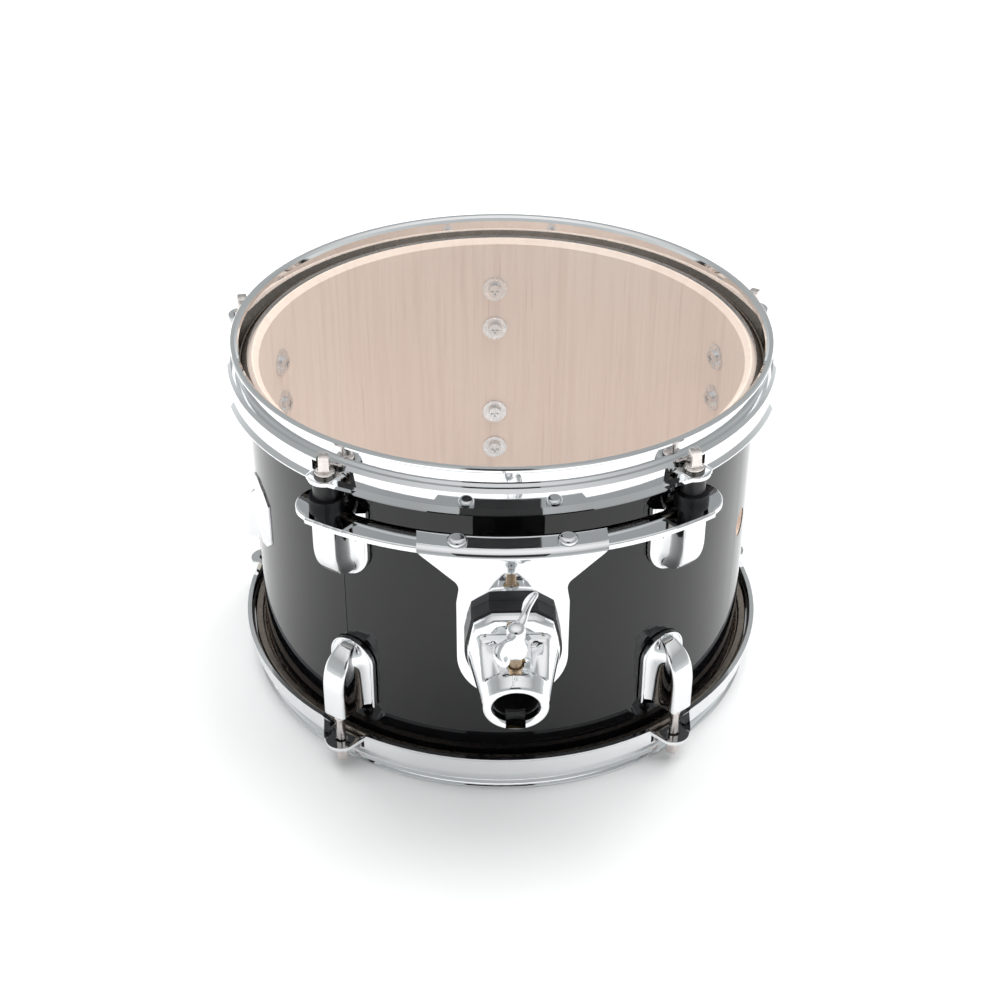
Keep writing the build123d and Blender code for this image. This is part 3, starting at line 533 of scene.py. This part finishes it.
def receiver_loops():
    """Loops round the bore, from the sleeve's seat, over the nose ring and back to the foot."""
    around = 120
    loops = []
    for back, radius, shaped in receiver_profile():
        loop = []
        for t in [2 * pi * j / around for j in range(around)]:
            r = shaped_radius(radius, t, back) if shaped and sin(t) > 0.05 else radius
            loop.append(tuple(NOSE - OUT * back + SIDE * (r * cos(t)) + UP * (r * sin(t))))
        loops.append(loop)
    return loops


def foot_loop(front, shrink):
    """The foot's outline at a distance from the drum's axis: round below, cut corners on top."""
    r = BASE_R - shrink
    top = BASE_Z + r
    low = [(r * cos(a), BASE_Z + r * sin(a)) for a in [pi + pi * k / 40 for k in range(41)]]
    right = [(r, BASE_Z + 4.0), (17.4 - shrink, top - 4.6), (9.5 - shrink, top)]
    left = [(-x, z) for x, z in reversed(right)]
    return [(x, -(SEAT + front), z) for x, z in low + right + left]


def cut(obj, *tools):
    """Takes the tool meshes out of obj and bakes the result into its mesh."""
    for tool in tools:
        mod = obj.modifiers.new("cut", "BOOLEAN")
        mod.operation, mod.solver, mod.object = "DIFFERENCE", "EXACT", tool
    bpy.context.view_layer.update()
    baked = bpy.data.meshes.new_from_object(obj.evaluated_get(bpy.context.evaluated_depsgraph_get()))
    obj.modifiers.clear()
    obj.data = baked
    shade_smooth(baked, 38)
    for tool in tools:
        bpy.data.objects.remove(tool)


def block(centre, x, y, z, size):
    """A cutting block centred on a point, along the unit directions x, y and z."""
    corners = [centre + x * (size[0] / 2 * a) + y * (size[1] / 2 * b) + z * (size[2] / 2 * c)
               for c in (-1, 1) for a, b in ((-1, -1), (1, -1), (1, 1), (-1, 1))]
    return mesh_object("tool", [tuple(p) for p in corners],
                       [(0, 3, 2, 1), (4, 5, 6, 7), (0, 1, 5, 4), (1, 2, 6, 5), (2, 3, 7, 6),
                        (3, 0, 4, 7)])


def rod_tool(centre, axis, radius, low, high):
    """A cutting rod about an axis square to SIDE, between two distances from the centre."""
    other = axis.cross(SIDE)
    return skin("tool", [[tuple(centre + axis * h + SIDE * x + other * y)
                          for x, y in circle(radius, 48)] for h in (low, high)])


body = skin("receiver_casting", receiver_loops(), 38, ring=True)
foot = skin("receiver_foot", [foot_loop(front, shrink) for front, shrink in
                              ((0, 0.25), (0.25, 0.0), (4.7, 0.35), (5.3, 0.75), (5.6, 1.5))], 30)
key_slot = block(NOSE - UP * 10.9 - OUT * 3.2, SIDE, UP, OUT, (8.6, 3.6, 9.4))
cut(body, key_slot, rod_tool(STUD, UP, STUD_HOLE_R, 10.6, 20.0))
cut(foot, rod_tool(NOSE, OUT, 11.2, -45, 10))
stand_in(body, "bracket_body")
foot.data.materials.append(MATERIALS["bracket_chrome"])
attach(foot, nodes["bracket_body"]["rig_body"])

# ---------------------------------------------------------------- wing screw
STUD_LOW, STUD_HIGH = 11.2, 26.2                  # ends of the thread, from the bore's axis
WING_RISE = 33.3                                  # middle of the wing, from the bore's axis
WING_TURN = radians(62.0)                         # from the drum's side towards its back
BACKWARD = UP.cross(SIDE)                         # along the bore, away from the nose

stud_loops = [[tuple(STUD + SIDE * x + BACKWARD * y + UP * z) for x, y, z in loop]
              for loop in threaded(3.0, 0.42, 1.0, STUD_LOW, STUD_HIGH)]
stand_in(skin("wing_stud_thread", stud_loops, 30), "wing_stud")

ALONG = SIDE * cos(WING_TURN) + BACKWARD * sin(WING_TURN)
ACROSS = UP.cross(ALONG)
WING = STUD + UP * WING_RISE


def wing_point(along, across, height):
    return tuple(WING + ALONG * along + ACROSS * across + UP * height)


def wing_hub():
    """A flanged barrel with a domed end, as radius and height from the wing's middle."""
    rows = [(3.05, -7.0), (3.05, -13.0), (4.7, -13.0), (5.15, -12.6), (5.15, -9.6), (4.7, -8.6),
            (4.2, -6.5), (4.1, -3.0), (4.2, -0.5), (3.9, 1.4), (3.1, 2.5), (1.8, 3.0), (0.5, 3.15)]
    return skin("wing_hub", [[wing_point(x, y, h) for x, y in circle(r, 32)] for r, h in rows], 40)


# stations of a paddle, outwards: distance along, sideways shift, height, half height, half
# thickness and twist in degrees
PADDLE = [(1.5, 0.0, -1.6, 3.6, 2.6, 0), (4.0, 0.0, -1.4, 3.4, 2.5, 4), (7.0, 0.2, -0.6, 3.1, 2.0, 10),
          (10.0, 0.7, 0.6, 3.9, 1.7, 18), (13.0, 1.2, 1.6, 4.9, 1.7, 26),
          (16.0, 1.5, 2.1, 5.2, 1.7, 32), (18.4, 1.6, 2.2, 4.5, 1.6, 34),
          (19.8, 1.6, 2.2, 3.1, 1.25, 34), (20.45, 1.6, 2.2, 1.0, 0.5, 34)]


def paddle(name, side):
    """One paddle of the wing, dished on both faces. side is -1 in front of the hub, 1 behind."""
    loops = []
    for a, b, h, tall, thick, twist in catmull(PADDLE, 4):
        tw = radians(twist)
        hollow = 0.38 * smooth((a - 8) / 4) * smooth((19.4 - a) / 2)
        loop = []
        for t in [2 * pi * k / 32 for k in range(32)]:
            u = tall * copysign(abs(cos(t))**0.85, cos(t))
            dish = 1 - hollow * smooth(1 - abs(u) / (tall * 0.72))
            v = thick * dish * copysign(abs(sin(t))**0.8, sin(t))
            loop.append(wing_point(side * a, side * (b + v * cos(tw) - u * sin(tw)),
                                   h + u * cos(tw) + v * sin(tw)))
        loops.append(loop)
    return skin(name, loops, 50)


hub = wing_hub()
front_paddle = paddle("wing_paddle_front", -1)
back_paddle = paddle("wing_paddle_back", 1)
stand_in(hub, "wing_handle")
for part in (front_paddle, back_paddle):
    part.data.materials.append(MATERIALS["wing_chrome"])
    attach(part, nodes["wing_handle"]["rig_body"])


# ---------------------------------------------------------------- studio
def plane(name, size, location):
    bpy.ops.mesh.primitive_plane_add(size=1, location=location)
    o = bpy.context.object
    o.name = name
    o.scale = (size, size, 1)
    return o


floor = plane("floor", 14, (0, 0, cad_box[0].z))
white = Mat("studio_floor", (0.93, 0.93, 0.93), rough=0.7)
white.colour(white.mix(white.noise(3, 4), (0.93, 0.93, 0.93), (0.95, 0.95, 0.95)))
white.bsdf.inputs["Specular IOR Level"].default_value = 0.1
floor.data.materials.append(white.mat)

# the sky by height, from 0 straight down to 1 overhead: pale at the horizon, grey above it and
# white overhead
SKY = [(0.46, 0.90), (0.62, 0.50), (0.80, 0.42)]
world = bpy.data.worlds.new("studio")
bpy.context.scene.world = world
world.use_nodes = True
sky_nodes, sky_links = world.node_tree.nodes, world.node_tree.links
background = sky_nodes["Background"]
background.inputs["Strength"].default_value = 1.0
direction = sky_nodes.new("ShaderNodeTexCoord").outputs["Generated"]
split = sky_nodes.new("ShaderNodeSeparateXYZ")
sky_links.new(direction, split.inputs["Vector"])
sky = sky_nodes.new("ShaderNodeValToRGB")
stops = sky.color_ramp.elements                   # its last stop stays white
stops[0].position = SKY[0][0]
for at, _ in SKY[1:]:
    stops.new(at)
for stop, (_, grey) in zip(stops, SKY):
    stop.color = (grey * 0.965, grey, grey * 1.005, 1)
lift = sky_nodes.new("ShaderNodeMath")            # height from -1..1 to 0..1
lift.operation = "MULTIPLY_ADD"
lift.inputs[1].default_value = lift.inputs[2].default_value = 0.5
sky_links.new(split.outputs["Z"], lift.inputs[0])
sky_links.new(lift.outputs["Value"], sky.inputs["Fac"])
sky_links.new(sky.outputs["Color"], background.inputs["Color"])

sun = bpy.data.lights.new("soft_sun", "SUN")
sun.energy = 3.0
sun.angle = radians(75)
sun_object = bpy.data.objects.new("soft_sun", sun)
bpy.context.scene.collection.objects.link(sun_object)
sun_object.rotation_euler = (radians(-14), radians(8), 0)
sun_object.visible_glossy = False

# ---------------------------------------------------------------- camera
CAMERA_AT = Vector((-0.0253, -0.7470, 0.5757))
CAMERA_AIM = Vector((-0.0006, 0.0, 0.0809))
CAMERA_ROLL = radians(0.222)
camera = bpy.data.objects.new("camera", bpy.data.cameras.new("camera"))
bpy.context.scene.collection.objects.link(camera)
bpy.context.scene.camera = camera
camera.location = CAMERA_AT
view = CAMERA_AIM - camera.location
facing = view.to_track_quat("-Z", "Y")
camera.rotation_mode = "QUATERNION"
camera.rotation_quaternion = (facing.to_matrix()
                              @ Matrix.Rotation(CAMERA_ROLL, 3, "Z")).to_quaternion()
camera.data.sensor_width = 36
camera.data.lens = 61.0
camera.data.clip_start = 0.01

# what stands behind the camera shows dark in the chrome
rig = plane("camera_rig", 0.42, camera.location - view.normalized() * 0.05)
rig.rotation_mode = "QUATERNION"
rig.rotation_quaternion = facing
rig_mat = Mat("studio_black", (0.01, 0.01, 0.01), rough=0.8)
rig_mat.colour(rig_mat.mix(rig_mat.noise(5), (0.01, 0.01, 0.01), (0.014, 0.014, 0.014)))
rig.data.materials.append(rig_mat.mat)

bpy.context.scene.view_settings.view_transform = "Standard"
